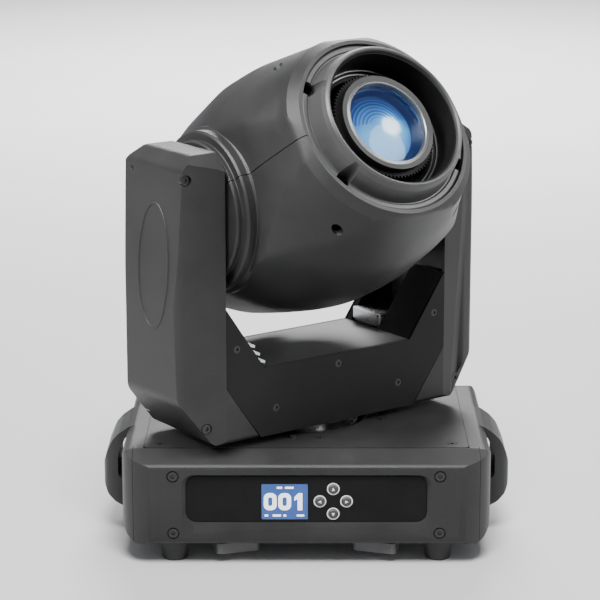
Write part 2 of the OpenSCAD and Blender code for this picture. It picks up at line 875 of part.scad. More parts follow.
module head_fan() {
    color([0.1, 0.1, 0.1]) in_head() difference() {
        translate([0, 91, 0]) rotate([90, 0, 0]) rounded_plate(76, 76, 15, 4);
        y_rod(78.5, 95, 36);
        difference() {
            y_rod(75, 79, 36);
            y_rod(74, 80, 13);
            for (a = [45, 135]) rotate([0, a, 0]) cube([80, 200, 5], center = true);
        }
    }
}

module fan_rotor() {
    color([0.15, 0.15, 0.15]) in_head() {
        y_rod(79.4, 90, 14);
        for (i = [0:6]) rotate([0, i * 360 / 7, 0]) translate([12, 80, 0])
            rotate([35, 0, 0]) translate([0, 2, -1]) cube([23, 6, 1.4]);
    }
}

// Filter wheel of radius r on a hub, with holes round it
module filter_wheel(r, n, hole_r) {
    difference() {
        union() {
            y_rod(0, 1.5, r);
            y_rod(-2, 5, 7);
        }
        for (i = [0:n - 1]) rotate([0, i * 360 / n, 0]) translate([r - hole_r - 4, 0, 0])
            y_rod(-1, 3, hole_r);
        y_rod(-3, 6, wheel_pin_r + run);
    }
}

module colour_wheel() {
    color("orangered") in_head() translate(wheel_at) filter_wheel(35, 8, 8);
}

module gobo_wheel() {
    color("silver") in_head() translate(wheel_at + [0, -14, 0])
        filter_wheel(35, 8, 7.5);
}

module head_screws() {
    color([0.1, 0.1, 0.1]) in_head() {
        for (p = upper_posts()) translate([p[0], -p[1], post_seat]) screw(3.2, 2, 9);
        for (p = lower_posts()) translate([p[0], -p[1], -post_seat]) rotate([180, 0, 0])
            screw(3.2, 2, 9);
    }
}

base_plate();
front_cover();
rear_cover();
mirror([1, 0, 0]) side_cap();  // left_side_cap
side_cap();  // right_side_cap
top_cover();
control_panel();
display();
control_board();
button(buttons_at[0]);  // up_button
button(buttons_at[1]);  // down_button
button(buttons_at[2]);  // left_button
button(buttons_at[3]);  // right_button
feet();
bracket_sockets();
safety_eye();
power_supply();
main_board();
power_sockets();
data_sockets();
fuse_holder();
pan_bridge();
pan_hub();
pan_bearing();
pan_pulley();
base_screws();
yoke_frame();
yoke_front_plate();
yoke_rear_plate();
yoke_floor();
left_arm_cover();
right_arm_cover();
left_arm_panel();
right_arm_panel();
pan_motor();
pan_motor_pulley();
pan_belt();
tilt_motor();
tilt_motor_pulley();
tilt_belt();
tilt_bearings();
yoke_screws();
head_upper_shell();
head_lower_shell();
front_bezel();
rear_grille();
head_chassis();
trunnions();
tilt_pulley();
lens_barrel();
focus_ring();
front_lens();
focus_carriage();
led_engine();
heat_sink();
head_fan();
fan_rotor();
colour_wheel();
gobo_wheel();
head_screws();
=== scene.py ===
import json
import math

import bmesh
import bpy
import numpy as np
from mathutils import Matrix, Vector


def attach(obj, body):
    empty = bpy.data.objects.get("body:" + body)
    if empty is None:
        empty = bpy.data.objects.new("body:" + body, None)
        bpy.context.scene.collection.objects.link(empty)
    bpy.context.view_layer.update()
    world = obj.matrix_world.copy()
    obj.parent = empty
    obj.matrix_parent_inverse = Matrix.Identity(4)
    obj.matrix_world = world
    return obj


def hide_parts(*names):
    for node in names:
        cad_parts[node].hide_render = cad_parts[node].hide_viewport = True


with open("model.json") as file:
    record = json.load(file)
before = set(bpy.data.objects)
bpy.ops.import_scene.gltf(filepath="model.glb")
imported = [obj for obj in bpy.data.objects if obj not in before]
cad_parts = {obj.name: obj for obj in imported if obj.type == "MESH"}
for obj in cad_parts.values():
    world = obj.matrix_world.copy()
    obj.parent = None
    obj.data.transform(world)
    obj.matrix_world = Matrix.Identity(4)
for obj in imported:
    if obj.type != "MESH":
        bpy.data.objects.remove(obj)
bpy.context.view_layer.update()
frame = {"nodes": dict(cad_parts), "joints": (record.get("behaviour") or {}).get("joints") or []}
nodes = frame["nodes"]
joints = {j["name"]: j for j in frame["joints"]}

# ---------- places ----------
# every piece is drawn in millimetres, in the space of the base, the yoke, the head or the lens
MM = 0.001
tilt_axis = Vector(joints["tilt"]["axis"])
lens_axis = Vector(joints["focus_travel"]["axis"])
PAN = math.atan2(-tilt_axis.y, -tilt_axis.x)
TILT = math.asin(lens_axis.z)
TILT_Z = joints["tilt"]["pos_m"][2]
BASE = Matrix.Scale(MM, 4)
YOKE = Matrix.Rotation(PAN, 4, "Z") @ BASE
HEAD = (Matrix.Translation((0, 0, TILT_Z)) @ Matrix.Rotation(PAN, 4, "Z")
        @ Matrix.Rotation(-TILT, 4, "X") @ BASE)
# the lens's space is the head's, turned: x stays, y points up the head, z out along the lens axis
LENS = HEAD @ Matrix.Rotation(math.radians(90), 4, "X")


def mirrored(side):
    """Turns a piece drawn for the +x side into the one for the side given as -1 or 1."""
    return Matrix.Scale(-1, 4, (1, 0, 0)) if side < 0 else Matrix.Identity(4)


# ---------- materials ----------
def new_material(name):
    m = bpy.data.materials.new(name)
    m.use_nodes = True
    m.node_tree.nodes.clear()
    out = m.node_tree.nodes.new("ShaderNodeOutputMaterial")
    bsdf = m.node_tree.nodes.new("ShaderNodeBsdfPrincipled")
    m.node_tree.links.new(bsdf.outputs[0], out.inputs[0])
    return m, bsdf


def node(m, kind, inputs=None, **settings):
    n = m.node_tree.nodes.new(kind)
    for k, v in settings.items():
        setattr(n, k, v)
    for k, v in (inputs or {}).items():
        if isinstance(v, bpy.types.NodeSocket):
            m.node_tree.links.new(v, n.inputs[k])
        else:
            n.inputs[k].default_value = v
    return n


def ramp(m, fac, stops):
    n = node(m, "ShaderNodeValToRGB", {"Fac": fac})
    while len(n.color_ramp.elements) < len(stops):
        n.color_ramp.elements.new(0.5)
    for e, (at, colour) in zip(n.color_ramp.elements, stops):
        e.position = at
        e.color = (*colour, 1) if len(colour) == 3 else colour
    return n.outputs["Color"]


def grey(v):
    return (v, v, v * 1.02)


FINE_SHARE = 0.35


def grained(name, low, high, rough=(0.4, 0.55), grain=2200, bump=0.15, depth=0.00012, blotch=18,
            metallic=0.0, stretch=(1, 1, 1), specular=0.5, cells=0):
    """A surface whose colour, roughness and relief vary.

    grain, blotch and cells are the fine, wide and cellular textures' frequencies per metre, bump is the
    relief's strength and depth its height in metres.
    """
    m, b = new_material(name)
    at = node(m, "ShaderNodeTexCoord").outputs["Object"]
    at = node(m, "ShaderNodeMapping", {"Vector": at, "Scale": stretch}).outputs[0]
    wide = node(m, "ShaderNodeTexNoise", {"Vector": at, "Scale": blotch, "Detail": 5, "Roughness": 0.6})
    fine = node(m, "ShaderNodeTexNoise", {"Vector": at, "Scale": grain, "Detail": 2, "Roughness": 0.5})
    mixed = node(m, "ShaderNodeMath", {0: fine.outputs[0], 1: FINE_SHARE}, operation="MULTIPLY")
    mixed = node(m, "ShaderNodeMath", {0: wide.outputs[0], 1: mixed.outputs[0]}, operation="ADD")
    m.node_tree.links.new(ramp(m, mixed.outputs[0], [(0.35, low), (1.0, high)]), b.inputs["Base Color"])
    r = node(m, "ShaderNodeMapRange", {"Value": wide.outputs[0], "From Min": 0.3, "From Max": 0.7,
                                       "To Min": rough[0], "To Max": rough[1]})
    m.node_tree.links.new(r.outputs[0], b.inputs["Roughness"])
    relief = fine.outputs[0]
    if cells:
        v = node(m, "ShaderNodeTexVoronoi", {"Vector": at, "Scale": cells})
        relief = node(m, "ShaderNodeMath", {0: relief, 1: v.outputs[0]}, operation="ADD").outputs[0]
    bp = node(m, "ShaderNodeBump", {"Height": relief, "Strength": bump, "Distance": depth})
    m.node_tree.links.new(bp.outputs[0], b.inputs["Normal"])
    b.inputs["Metallic"].default_value = metallic
    b.inputs["Specular IOR Level"].default_value = specular
    return m


def turned_metal(name, low, high, rough, period, metallic):
    """Turned metal with a fine, shallow grain; period is its frequency per metre."""
    m, b = new_material(name)
    at = node(m, "ShaderNodeTexCoord").outputs["Object"]
    fine = node(m, "ShaderNodeTexNoise", {"Vector": at, "Scale": period, "Detail": 3})
    m.node_tree.links.new(ramp(m, fine.outputs[0], [(0.3, low), (0.7, high)]), b.inputs["Base Color"])
    r = node(m, "ShaderNodeMapRange", {"Value": fine.outputs[0], "To Min": rough[0], "To Max": rough[1]})
    m.node_tree.links.new(r.outputs[0], b.inputs["Roughness"])
    bp = node(m, "ShaderNodeBump", {"Height": fine.outputs[0], "Strength": 0.1, "Distance": 0.0002})
    m.node_tree.links.new(bp.outputs[0], b.inputs["Normal"])
    b.inputs["Metallic"].default_value = metallic
    return m


# moulded plastic has a fine cellular grain
MOULDED = {"grain": 1500, "cells": 1900}
SHELL = grained("black_moulding", grey(0.009), grey(0.024), (0.38, 0.50), bump=0.28, depth=0.00025, blotch=14,
                specular=0.34, **MOULDED)
BASE_SHELL = grained("base_moulding", grey(0.008), grey(0.022), (0.36, 0.48), bump=0.28, depth=0.00025,
                     blotch=14, specular=0.3, **MOULDED)
BEZEL = grained("bezel_moulding", grey(0.022), grey(0.050), (0.34, 0.46), bump=0.25, depth=0.00022, blotch=20,
                specular=0.5, **MOULDED)
PLATE = grained("plate_black", grey(0.005), grey(0.012), (0.40, 0.52), bump=0.2, depth=0.0002, blotch=14,
                specular=0.16, **MOULDED)
# the rest give roughness, grain, bump, depth, blotch and, for metals, how metallic they are
MATT = grained("matt_black", grey(0.002), grey(0.006), (0.5, 0.7), 900, 0.2, 0.0002, 30, specular=0.12)
INNER = grained("inner_black", grey(0.003), grey(0.008), (0.5, 0.7), 900, 0.2, 0.0002, 30)
GLOSSY = grained("glossy_black", grey(0.010), grey(0.020), (0.36, 0.44), 900, 0.03, 0.0001, 9, specular=0.55)
PANEL = grained("panel_black", grey(0.004), grey(0.009), (0.28, 0.38), 1700, 0.15, 0.0001, 25, specular=0.1)
STEEL = grained("plated_steel", grey(0.42), grey(0.72), (0.2, 0.38), 700, 0.08, 0.0001, 40, 1.0,
                stretch=(1, 1, 6))
DARK_STEEL = grained("black_steel", grey(0.05), grey(0.10), (0.35, 0.5), 1200, 0.12, 0.0001, 30, 0.3)
ALU = grained("aluminium", grey(0.5), grey(0.78), (0.25, 0.42), 900, 0.08, 0.0001, 60, 1.0)
DARK_SCREW = grained("dark_screws", grey(0.008), grey(0.025), (0.28, 0.42), 1800, 0.08, 0.0001, 300, 0.2)
RUBBER = grained("rubber", grey(0.018), grey(0.034), (0.6, 0.8), 1300, 0.3, 0.0002, 50)
BOARD = grained("board", (0.01, 0.09, 0.03), (0.03, 0.17, 0.06), (0.3, 0.45), 400, 0.1, 0.0001, 250)
BLUE_SOCKET = grained("sockets", (0.02, 0.06, 0.26), (0.04, 0.10, 0.36), (0.3, 0.45), 1500, 0.15, 0.0001, 40)
NICKEL = grained("nickel", grey(0.09), grey(0.17), (0.35, 0.45), 1200, 0.08, 0.0001, 60, 0.9)
COPPER = grained("copper_core", (0.4, 0.25, 0.08), (0.7, 0.5, 0.2), (0.3, 0.5), 800, 0.1, 0.0001, 60, 0.9)
BUTTON = grained("buttons", grey(0.020), grey(0.04), (0.35, 0.5), 1500, 0.15, 0.0001, 60)
RING_INK = grained("pale_rings", grey(0.55), grey(0.75), (0.4, 0.5), 1500, 0.1, 0.0001, 90)


def glass(name, low, high, rough):
    m, b = new_material(name)
    at = node(m, "ShaderNodeTexCoord").outputs["Object"]
    fine = node(m, "ShaderNodeTexNoise", {"Vector": at, "Scale": 60, "Detail": 3})
    m.node_tree.links.new(ramp(m, fine.outputs[0], [(0.3, low), (0.7, high)]), b.inputs["Base Color"])
    r = node(m, "ShaderNodeMapRange", {"Value": fine.outputs[0], "To Min": rough[0], "To Max": rough[1]})
    m.node_tree.links.new(r.outputs[0], b.inputs["Roughness"])
    b.inputs["Transmission Weight"].default_value = 1.0
    # coated against reflections, so the index is well under that of bare glass
    b.inputs["IOR"].default_value = 1.22
    b.inputs["Specular IOR Level"].default_value = 0.15
    return m


LENS_GLASS = glass("lens_glass", (0.70, 0.84, 1.0), (0.82, 0.92, 1.0), (0.0, 0.04))


# ---------- mesh helpers, all in the local millimetres of a place ----------
TINY = 1e-6
STRAIGHT = math.pi - 0.02


def finish_mesh(o, smooth_angle=34.0, bevel=0.0, segments=3, bevel_angle=30.0):
    """Applies a bevel and sets smooth shading with sharp edges by angle and weighted normals."""
    if bevel:
        mod = o.modifiers.new("edges", "BEVEL")
        mod.width = bevel * MM
        mod.segments = segments
        mod.limit_method = "ANGLE"
        mod.angle_limit = math.radians(bevel_angle)
        mod.harden_normals = False
        mod.use_clamp_overlap = True
        apply_modifiers(o)
    o.data.shade_smooth()
    o.data.set_sharp_from_angle(angle=math.radians(smooth_angle))
    mod = o.modifiers.new("normals", "WEIGHTED_NORMAL")
    mod.keep_sharp = True
    return o


def apply_modifiers(o):
    bpy.context.view_layer.update()
    dg = bpy.context.evaluated_depsgraph_get()
    mesh = bpy.data.meshes.new_from_object(o.evaluated_get(dg), depsgraph=dg)
    o.modifiers.clear()
    old = o.data
    o.data = mesh
    mesh.name = o.name
    bpy.data.meshes.remove(old)
    return o


def solid(name, verts, faces, place):
    mesh = bpy.data.meshes.new(name)
    mesh.from_pydata([tuple(place @ Vector(v)) for v in verts], [], faces)
    bm = bmesh.new()
    bm.from_mesh(mesh)
    bmesh.ops.recalc_face_normals(bm, faces=bm.faces)
    bm.to_mesh(mesh)
    bm.free()
    o = bpy.data.objects.new(name, mesh)
    bpy.context.scene.collection.objects.link(o)
    return o


def fillet(points, radii, n=5):
    """Rounds the corners of a closed 2D outline; radii is one number or one per point."""
    out = []
    count = len(points)
    for i, p in enumerate(points):
        r = radii if isinstance(radii, (int, float)) else radii[i]
        p = Vector(p)
        a, b = Vector(points[i - 1]) - p, Vector(points[(i + 1) % count]) - p
        if r <= 0 or a.length < TINY or b.length < TINY or a.angle(b) > STRAIGHT:
            out.append(tuple(p))
            continue
        turn = a.angle(b)
        # a rounding never takes more than about half of the edge that it shares with the next one
        reach = min(r / math.tan(turn / 2), 0.48 * a.length, 0.48 * b.length)
        r = reach * math.tan(turn / 2)
        a.normalize()
        b.normalize()
        mid = (a + b).normalized()
        c = p + mid * (r / math.sin(turn / 2))
        start, end = p + a * reach - c, p + b * reach - c
        a0 = math.atan2(start.y, start.x)
        da = (math.atan2(end.y, end.x) - a0 + math.pi) % (2 * math.pi) - math.pi
        angles = [a0 + da * k / n for k in range(n + 1)]
        out += [(c.x + r * math.cos(angle), c.y + r * math.sin(angle)) for angle in angles]
    return out


def prism(name, outline, axis, low, high, place):
    """An outline pushed along an axis. For x the outline is (y, z), for y (x, z), for z (x, y)."""
    def at(p, t):
        return {"x": (t, p[0], p[1]), "y": (p[0], t, p[1]), "z": (p[0], p[1], t)}[axis]
    n = len(outline)
    verts = [at(p, low) for p in outline] + [at(p, high) for p in outline]
    faces = [list(range(n))[::-1], [n + i for i in range(n)]]
    faces += [[i, (i + 1) % n, n + (i + 1) % n, n + i] for i in range(n)]
    return solid(name, verts, faces, place)


def block(name, low, high, place):
    outline = [(low[0], low[1]), (high[0], low[1]), (high[0], high[1]), (low[0], high[1])]
    return prism(name, outline, "z", low[2], high[2], place)


def lathe(name, profile, place, steps=128):
    """A closed profile of (radius, z) turned about z."""
    verts, faces = [], []
    n = len(profile)
    for k in range(steps):
        c, s = math.cos(2 * math.pi * k / steps), math.sin(2 * math.pi * k / steps)
        verts += [(r * c, r * s, z) for r, z in profile]
    for k in range(steps):
        a, b = k * n, ((k + 1) % steps) * n
        for i in range(n):
            j = (i + 1) % n
            i_on_axis, j_on_axis = profile[i][0] < TINY, profile[j][0] < TINY
            if i_on_axis and j_on_axis:
                continue
            if i_on_axis:
                faces.append([a + i, a + j, b + j])
            elif j_on_axis:
                faces.append([a + i, a + j, b + i])
            else:
                faces.append([a + i, a + j, b + j, b + i])
    o = solid(name, verts, faces, place)
    bm = bmesh.new()
    bm.from_mesh(o.data)
    bmesh.ops.remove_doubles(bm, verts=bm.verts, dist=1e-7)
    bmesh.ops.recalc_face_normals(bm, faces=bm.faces)
    bm.to_mesh(o.data)
    bm.free()
    return o


def rod(name, centre, direction, r, length, place, steps=48, edge=0.0):
    """A cylinder from centre along a local direction."""
    turn = Vector((0, 0, 1)).rotation_difference(Vector(direction)).to_matrix().to_4x4()
    p = [(0, 0), (r, 0), (r, length), (0, length)]
    if edge:
        p = [(0, 0), (r - edge, 0), (r, edge), (r, length - edge), (r - edge, length), (0, length)]
    return lathe(name, p, place @ Matrix.Translation(centre) @ turn, steps)


def combine(o, other, operation):
    mod = o.modifiers.new("b", "BOOLEAN")
    mod.operation = operation
    mod.object = other
    mod.solver = "EXACT"
    apply_modifiers(o)
    mesh = other.data
    bpy.data.objects.remove(other)
    bpy.data.meshes.remove(mesh)
    return o


def cut(o, *others):
    for x in others:
        combine(o, x, "DIFFERENCE")
    return o


def meet(o, *others):
    for x in others:
        combine(o, x, "INTERSECT")
    return o


def fuse(o, *others):
    for x in others:
        combine(o, x, "UNION")
    return o


def join(name, parts):
    """Several meshes as one object, without merging them."""
    bm = bmesh.new()
    for p in parts:
        bm.from_mesh(p.data)
    mesh = bpy.data.meshes.new(name)
    bm.to_mesh(mesh)
    bm.free()
    for p in parts:
        old = p.data
        bpy.data.objects.remove(p)
        bpy.data.meshes.remove(old)
    o = bpy.data.objects.new(name, mesh)
    bpy.context.scene.collection.objects.link(o)
    return o


def paint(o, material):
    o.data.materials.clear()
    o.data.materials.append(material)
    return o


def piece(o, body, material, slot, *replaced):
    paint(o, material)
    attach(o, body)
    if replaced:
        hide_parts(*replaced)
    return o


# ---------- looks of the CAD nodes that stay ----------
LOOKS = {
    PLATE: "yoke_front_plate yoke_rear_plate",
    SHELL: "left_arm_cover right_arm_cover left_arm_panel right_arm_panel head_upper_shell head_lower_shell",
    BASE_SHELL: "front_cover rear_cover left_side_cap right_side_cap top_cover",
    BEZEL: "front_bezel",
    INNER: "rear_grille lens_barrel focus_ring head_fan fan_rotor fuse_holder",
    GLOSSY: "yoke_floor",
    PANEL: "control_panel display",
    STEEL: "bracket_sockets safety_eye power_supply pan_bridge pan_hub pan_bearing tilt_bearings trunnions "
           "pan_motor tilt_motor",
    DARK_STEEL: "base_plate yoke_frame head_chassis",
    ALU: "pan_pulley tilt_pulley heat_sink gobo_wheel pan_motor_pulley tilt_motor_pulley",
    RUBBER: "feet pan_belt tilt_belt",
    BOARD: "control_board main_board",
    BLUE_SOCKET: "power_sockets",
    NICKEL: "data_sockets",
    COPPER: "led_engine colour_wheel",
    LENS_GLASS: "front_lens focus_carriage",
    BUTTON: "up_button down_button left_button right_button",
    DARK_SCREW: "base_screws yoke_screws head_screws",
}
for material, names in LOOKS.items():
    for n in names.split():
        paint(nodes[n], material)
# nodes whose sharp edges are softened, with the width in millimetres
EDGED = {"base_plate": 0.4, "yoke_floor": 0.5, "rear_grille": 0.6, "pan_motor": 0.8,
         "feet": 0.6, "pan_hub": 0.5, "power_sockets": 0.5, "data_sockets": 0.5, "fuse_holder": 0.5}
for n, o in nodes.items():
    if n in EDGED:
        mod = o.modifiers.new("edges", "BEVEL")
        mod.width = EDGED[n] * MM
        mod.segments = 2
        mod.limit_method = "ANGLE"
        mod.angle_limit = math.radians(35)
    mod = o.modifiers.new("normals", "WEIGHTED_NORMAL")
    mod.keep_sharp = True


# ---------- head ----------
FRONT, WALL = 118.0, 3.0
UPPER_REAR, LOWER_REAR = -108.0, -98.0
# half sizes of the head in mm, each as (reach along the lens axis, half size): the round barrel, and what
# the flat top, the flat bottom and the flat sides leave of it
BARREL = [(-108, 60), (-95, 88), (-65, 99), (-30, 103), (25, 103), (66, 94.5), (91, 85), (104, 80),
          (112, 77.6), (118, 70.8)]
UPPER = [(-108, 28), (-96, 57), (-75, 75), (-45, 86), (0, 89), (50, 87), (84, 80), (112, 75), (118, 70.8)]
LOWER = [(-98, 38), (-80, 57), (-50, 74), (-25, 83.5), (8, 88), (50, 87), (84, 80), (112, 75), (118, 70.8)]
SIDES = [(-112, 56), (-86, 70), (-66, 82), (-46, 88), (55, 88), (78, 84.5), (100, 78.5), (112, 75.3),
         (118, 71)]
# the belly is part of a wider barrel, whose axis lies this far above the lens axis
BELLY_UP = 60.0
BELLY_DEPTHS = [(-98, 43), (-80, 63), (-50, 74), (-25, 83.5), (8, 88), (50, 87), (84, 80), (118, 71.5)]
BELLY = [(s, depth + BELLY_UP) for s, depth in BELLY_DEPTHS]


def blend_min(values, soft):
    """Smooth minimum of several radii."""
    v = np.stack(values)
    low = v.min(0)
    return low - soft * np.log(np.exp(-(v - low) / soft).sum(0))


def along(table, s):
    """A curve through a table's points, smoothed by averaging except near the bezel."""
    t = np.array(table, float)
    fine = np.interp(s, t[:, 0], t[:, 1])
    wide = sum(np.interp(s + d, t[:, 0], t[:, 1]) for d in (-7, -3.5, 3.5, 7))
    keep = np.clip((102 - s) / 6, 0, 1)
    return fine * (1 - keep) + (wide + fine) / 5 * keep


def flat_limit(table, s, share):
    """How far a ray runs before it meets a flat side, where share is the ray's part towards that side."""
    far = 400.0
    return np.minimum(far, along(table, s) / np.maximum(TINY, share))


def shell_radius(s, a, lower):
    """Radius of the head's skin at reach s and angle a, where a = 0 is +x and 90 degrees is up."""
    up = np.sin(a)
    barrel = along(BARREL, s)
    if lower:
        # the lower half is up to 5 mm fuller between its rear and the bezel
        barrel = barrel + 5.0 * np.clip((s + 75) / 20, 0, 1) * np.clip((80 - s) / 30, 0, 1)
    limits = [barrel, flat_limit(SIDES, s, np.abs(np.cos(a)))]
    if lower:
        limits.append(flat_limit(LOWER, s, -up))
        belly = along(BELLY, s)
        rise = up * BELLY_UP
        limits.append(rise + np.sqrt(np.maximum(0, rise * rise + belly * belly - BELLY_UP ** 2)))
    else:
        limits.append(flat_limit(UPPER, s, up))
    # the creases between the sides are sharper on the lower half, and fade out at the bezel
    soft = np.clip((FRONT - s) / 14, 0.02, 1) * (0.4 if lower else 1.1)
    return blend_min(limits, soft)


def half_shell(name, lower):
    """One half of the head's skin as a closed wall, open at the front for the bezel and at the rear."""
    across, seat, mouth, rear_hole, rounding = 145, 112.0, 67.8, 43.2, 9.0
    turn = np.linspace(math.pi, 2 * math.pi, across) if lower else np.linspace(0, math.pi, across)
    rear = LOWER_REAR if lower else UPPER_REAR
    split = -0.35 if lower else 0.35
    reach = np.concatenate([np.linspace(rear, -60, 16), np.linspace(-56, 60, 30), np.linspace(63, 109, 21),
                            [seat, 114, 116, FRONT]])
    s, a = np.meshgrid(reach, turn, indexing="ij")
    # round the rear edge over
    near = np.clip((s - rear) / rounding, 0, 1)
    outside = shell_radius(s, a, lower) - rounding * (1 - np.sqrt(1 - (1 - near) ** 2))

    def arc(radii, at, lift=0.0):
        """One row of points across the half; lift moves its two ends off the split between the halves."""
        each = np.broadcast_to(radii, turn.shape)
        row = [[r * math.cos(t), r * math.sin(t), at] for r, t in zip(each, turn)]
        row[0][1] += lift
        row[-1][1] += lift
        return row

    rows = [arc(radii, at, split) for radii, at in zip(outside, reach)]
    rows += [arc(mouth, FRONT), arc(mouth, seat)]
    # the inner wall starts ten rows behind the front, past the bezel's seat
    rows += [arc(outside[i] - WALL, reach[i]) for i in range(len(reach) - 10, 0, -1)]
    rows += [arc(rear_hole, rear + WALL), arc(rear_hole, rear)]
    verts = [point for row in rows for point in row]
    faces = []
    for i in range(len(rows)):
        j = (i + 1) % len(rows)
        for k in range(across - 1):
            faces.append([i * across + k, i * across + k + 1, j * across + k + 1, j * across + k])
    faces.append([i * across for i in range(len(rows))])
    faces.append([i * across + across - 1 for i in range(len(rows))][::-1])
    return solid(name, verts, faces, LENS)


def hub(name, side, is_upper):
    """The collar round one trunnion, as a half turned about the tilt axis."""
    # drawn as (distance from the head's middle, radius about the tilt axis)
    profile = fillet([(70, 0), (70, 63), (86, 63), (88.5, 60.5), (94.5, 60.5), (96, 59), (96, 53.5),
                      (99.8, 53.5), (101, 52.2), (101, 14), (98, 14), (98, 20), (84, 20), (84, 0)], 0.9, 3)
    place = HEAD @ Matrix.Rotation(math.radians(90 * side), 4, "Y")
    collar = lathe(name, [(r, x) for x, r in profile], place, 128)
    reach, gap = 130, 0.3
    low, high = (gap, reach) if is_upper else (-reach, -gap)
    return meet(collar, block("keep", (-reach, -reach, low), (reach, reach, high), HEAD))


upper = half_shell("head_top", False)
lower = half_shell("head_bottom", True)
for side in (-1, 1):
    fuse(upper, hub("collar", side, True))
    fuse(lower, hub("collar", side, False))
# wells for the screws that hold the halves: (shell, distance from the middle, height, reach, direction)
for shell, x, height, reach, up in ((upper, 50, 57, 90, 1), (lower, 54.8, -57, 91.8, -1)):
    for side in (-1, 1):
        cut(shell, rod("well", (side * x, height, reach), (0, up, 0), 3.7, 40, LENS, 32))
# the slot in the belly
cut(lower, block("slot", (10, -13, -92), (32, -8, -84.6), HEAD))
finish_mesh(upper, 30)
finish_mesh(lower, 30)
piece(upper, "head", SHELL, "black_moulding", "head_upper_shell")
piece(lower, "head", SHELL, "black_moulding", "head_lower_shell")

# bezel: a raised ring with a dark terrace round it and four pockets for its screws
ring = [(53, 98), (59, 98), (59, 112.2), (67.6, 112.2), (67.6, 115.6), (66.2, 116.4), (63.4, 116.4),
        (62.6, 115.2), (61.4, 115.2), (60.7, 117.5), (58.6, 128.5), (57.2, 132.6), (55.8, 134.3),
        (54.8, 134.3), (53.8, 133.2), (53.2, 129)]
ring = fillet(ring, [0, 0, 0, 0, 0.5, 0.6, 0.5, 0.5, 0.4, 0.6, 3, 2, 0.8, 0.8, 0.6, 2], 4)
bezel = lathe("bezel", ring, LENS, 160)
screws = []
screw_at, key_size = 62.6, 1.5
key = [(screw_at + key_size * math.cos(k), key_size * math.sin(k)) for k in np.arange(6) * math.pi / 3]
pocket = fillet([(57.4, -5.4), (68.5, -5.4), (68.5, 5.4), (57.4, 5.4)], [5, 3, 3, 5], 8)
for a in (35, 145, 215, 325):
    turned = HEAD @ Matrix.Rotation(math.radians(a), 4, "Y") @ Matrix.Rotation(math.radians(90), 4, "X")
    cut(bezel, prism("pocket", pocket, "z", 101, 140, turned))
    screw = rod("screw", (screw_at, 0, 104), (0, 0, 1), 2.9, 1.7, turned, 32, 0.3)
    screws.append(cut(screw, prism("key", key, "z", 104.8, 110, turned)))
finish_mesh(bezel, 32)
piece(bezel, "head", BEZEL, "black_moulding", "front_bezel")
piece(finish_mesh(join("bezel_screws", screws), 30), "head", DARK_SCREW, "black_screws")

# optics: black cone, thin grey rings, toothed focus ring, pale lens ring and coated glass
cone = lathe("light_shade", fillet([(53, 131), (53, 99), (45.5, 99), (45.5, 103), (51.2, 105), (52.2, 131)],
                                   0.2, 2), LENS, 128)
piece(finish_mesh(cone, 40), "head", MATT, "black_moulding")
RIM = turned_metal("lens_ring", grey(0.12), grey(0.22), (0.28, 0.42), 900, 0.85)
baffles = []
for r, z in ((50.9, 107), (48.6, 105)):
    profile = [(r - 0.55, z), (r + 0.55, z), (r + 0.55, z + 1.2), (r - 0.55, z + 1.2)]
    baffles.append(lathe("baffle", fillet(profile, 0.25, 2), LENS, 128))
piece(finish_mesh(join("baffle_rings", baffles), 40), "head", RIM, "black_steel")
TEETH, ROOT_R, TIP_R = 84, 40.6, 42.2
teeth = []
for k in range(TEETH):
    for share, r in ((0.0, ROOT_R), (0.22, TIP_R), (0.5, TIP_R), (0.72, ROOT_R)):
        a = 2 * math.pi * (k + share) / TEETH
        teeth.append((r * math.cos(a), r * math.sin(a)))
knurl = prism("toothed_ring", teeth, "z", 106, 117.5, LENS)
cut(knurl, rod("hole", (0, 0, 100), (0, 0, 1), 36.6, 30, LENS, 128))
finish_mesh(knurl, 30, 0.25, 2)
piece(knurl, "head", MATT, "black_steel", "focus_ring")
rim = fillet([(31.6, 110), (35.9, 110), (35.9, 121.8), (35.2, 123.2), (32.2, 124.2), (31.6, 123.4)],
             [0, 0, 0.6, 0.8, 0.4, 0.3], 4)
rim = lathe("lens_ring", rim, LENS, 160)
piece(finish_mesh(rim, 35), "head", RIM, "black_steel")
GLASS_R, GLASS_EDGE, GLASS_RISE = 31.4, 119.4, 4.2
dome = [(0, 118.6), (GLASS_R, 116.4), (GLASS_R, GLASS_EDGE)]
for i in range(1, 21):
    share = 1 - i / 20
    dome.append((GLASS_R * share, GLASS_EDGE + GLASS_RISE * (1 - share ** 2)))
front_glass = lathe("front_glass", dome, LENS, 128)
piece(finish_mesh(front_glass, 30), "head", LENS_GLASS, "lens", "front_lens")


